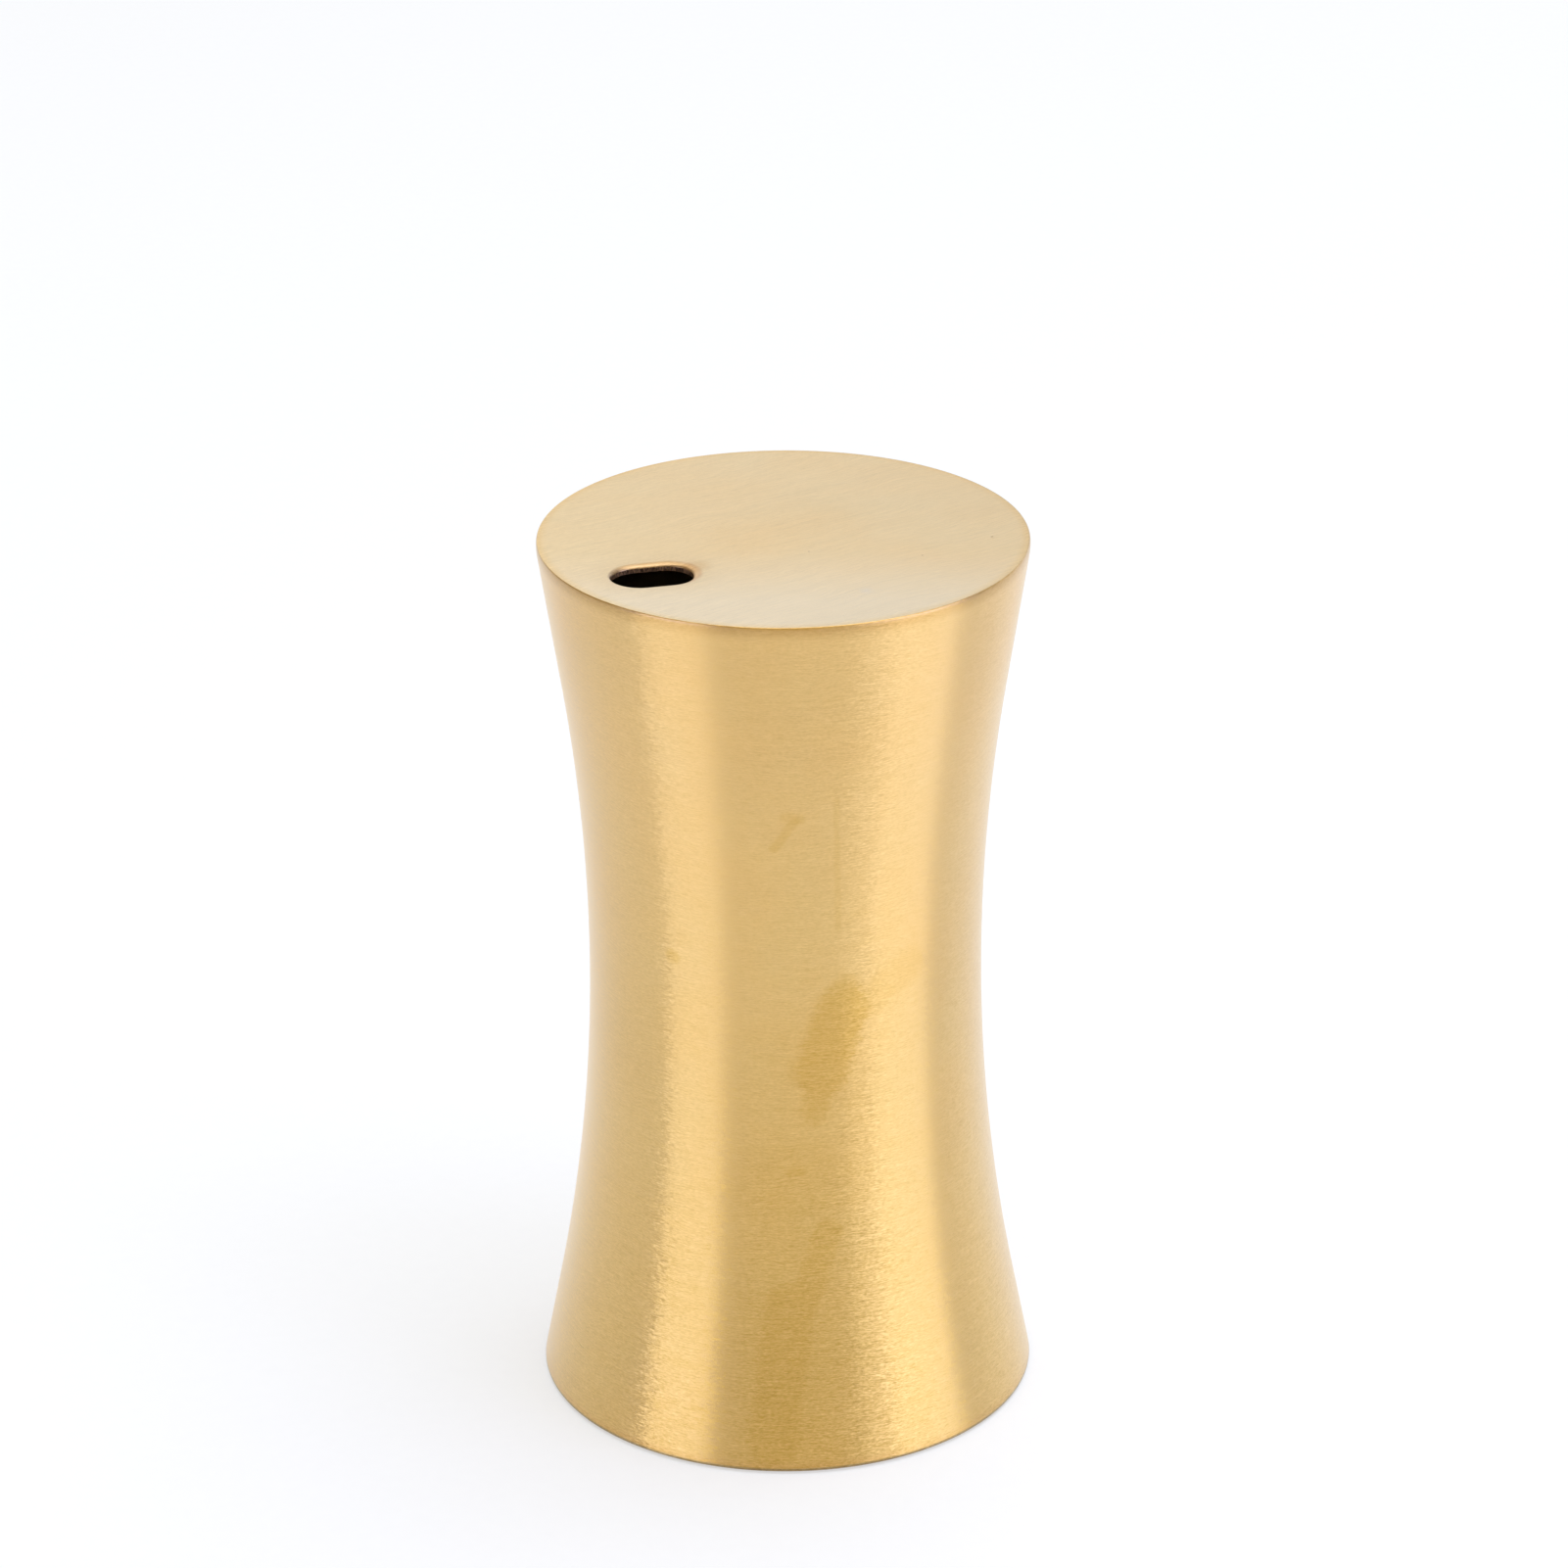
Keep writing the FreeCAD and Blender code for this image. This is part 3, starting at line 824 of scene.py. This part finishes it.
def make_world():
    """Studio that is white behind the object and a little to its right, and dim and warm near the camera."""
    world = bpy.data.worlds.new("studio")
    bpy.context.scene.world = world
    n = Nodes(world, "Generated")
    brightest = from_camera_side(math.sin(WORLD_TURN), math.cos(WORLD_TURN), 0) / MM
    behind = n.measure("DOT_PRODUCT", n.place, brightest)
    ahead = n.measure("DOT_PRODUCT", n.place, tuple(from_camera_side(0, -1, 0) / MM))
    above = n.add("SeparateXYZ", {0: n.place}).outputs["Z"]
    front = n.mix(n.ramp(ahead, 0.1, 0.75), rgb(*WORLD_SIDE), rgb(*WORLD_FRONT))
    overhead = n.ramp(above, 0.1, 0.5, interpolation_type="SMOOTHSTEP")
    near = n.mix(overhead, front, rgb(*WORLD_ABOVE))
    away = n.ramp(behind, 0.25, 0.9, interpolation_type="SMOOTHSTEP")
    colour = n.mix(away, near, rgb(*WORLD_BACK))
    n.add("OutputWorld", {"Surface": n.add("Background", {"Color": colour}).outputs[0]})


def make_floor():
    m = Material("paper")
    grain = m.noise((1.5, 1.5, 1.5), 3.0)
    colour = m.mix(grain, rgb(0.90, 0.935, 0.965), rgb(0.94, 0.975, 1.0))
    diffuse = m.add("BsdfDiffuse", {"Color": colour})
    glow = m.add("Emission", {"Color": rgb(1, 1, 1), "Strength": 1.0})
    path = m.add("LightPath").outputs
    seen = m.math("MAXIMUM", m.math("MAXIMUM", path["Is Camera Ray"], path["Is Glossy Ray"]),
                  path["Is Transmission Ray"])
    share = m.math("MULTIPLY", seen, FLOOR_GLOW)
    mixed = m.add("MixShader", {0: share, 1: diffuse.outputs[0], 2: glow.outputs[0]})
    m.add("OutputMaterial", {"Surface": mixed.outputs[0]})
    corners = [(x * FLOOR_REACH, y * FLOOR_REACH, 0) for x, y in ((-1, -1), (1, -1), (1, 1), (-1, 1))]
    floor = add_mesh("floor", corners, [[0, 1, 2, 3]])
    floor.data.materials.append(m.material)


def make_light(name, place, size, power, colour):
    """Area light in metres, aimed at the middle of the object."""
    light = bpy.data.lights.new(name, "AREA")
    light.shape = "RECTANGLE"
    light.size, light.size_y = size
    light.energy = power
    light.color = colour
    obj = bpy.data.objects.new(name, light)
    bpy.context.scene.collection.objects.link(obj)
    obj.location = place
    obj.rotation_mode = "QUATERNION"
    obj.rotation_quaternion = (Vector((0, 0, AIM_HEIGHT * MM)) - obj.location).to_track_quat("-Z", "Y")
    obj.visible_camera = False


def make_lights():
    for name, azimuth, height, width, tall, power in SOFTBOXES:
        a = math.radians(azimuth)
        place = from_camera_side(SOFTBOX_DISTANCE * math.sin(a), -SOFTBOX_DISTANCE * math.cos(a), height)
        make_light(name, place, (width * MM, tall * MM), power, SOFTBOX_COLOUR)
    ceiling = (CEILING_SIZE * MM, CEILING_SIZE * MM)
    make_light("ceiling", from_camera_side(*CEILING_PLACE), ceiling, CEILING_POWER, CEILING_COLOUR)


def main():
    bpy.context.scene.view_settings.view_transform = "Standard"
    make_camera()
    side, inside_metal, plastic = brushed_side(), bare_inside(), moulded_black()
    make_shell(side, inside_metal)
    make_plate(side, brushed_top(), punched_steel(), inside_metal)
    make_collar(plastic)
    make_base(plastic)
    make_seal(seal_silicone())
    make_foot(foot_rubber())
    make_world()
    make_floor()
    make_lights()


main()
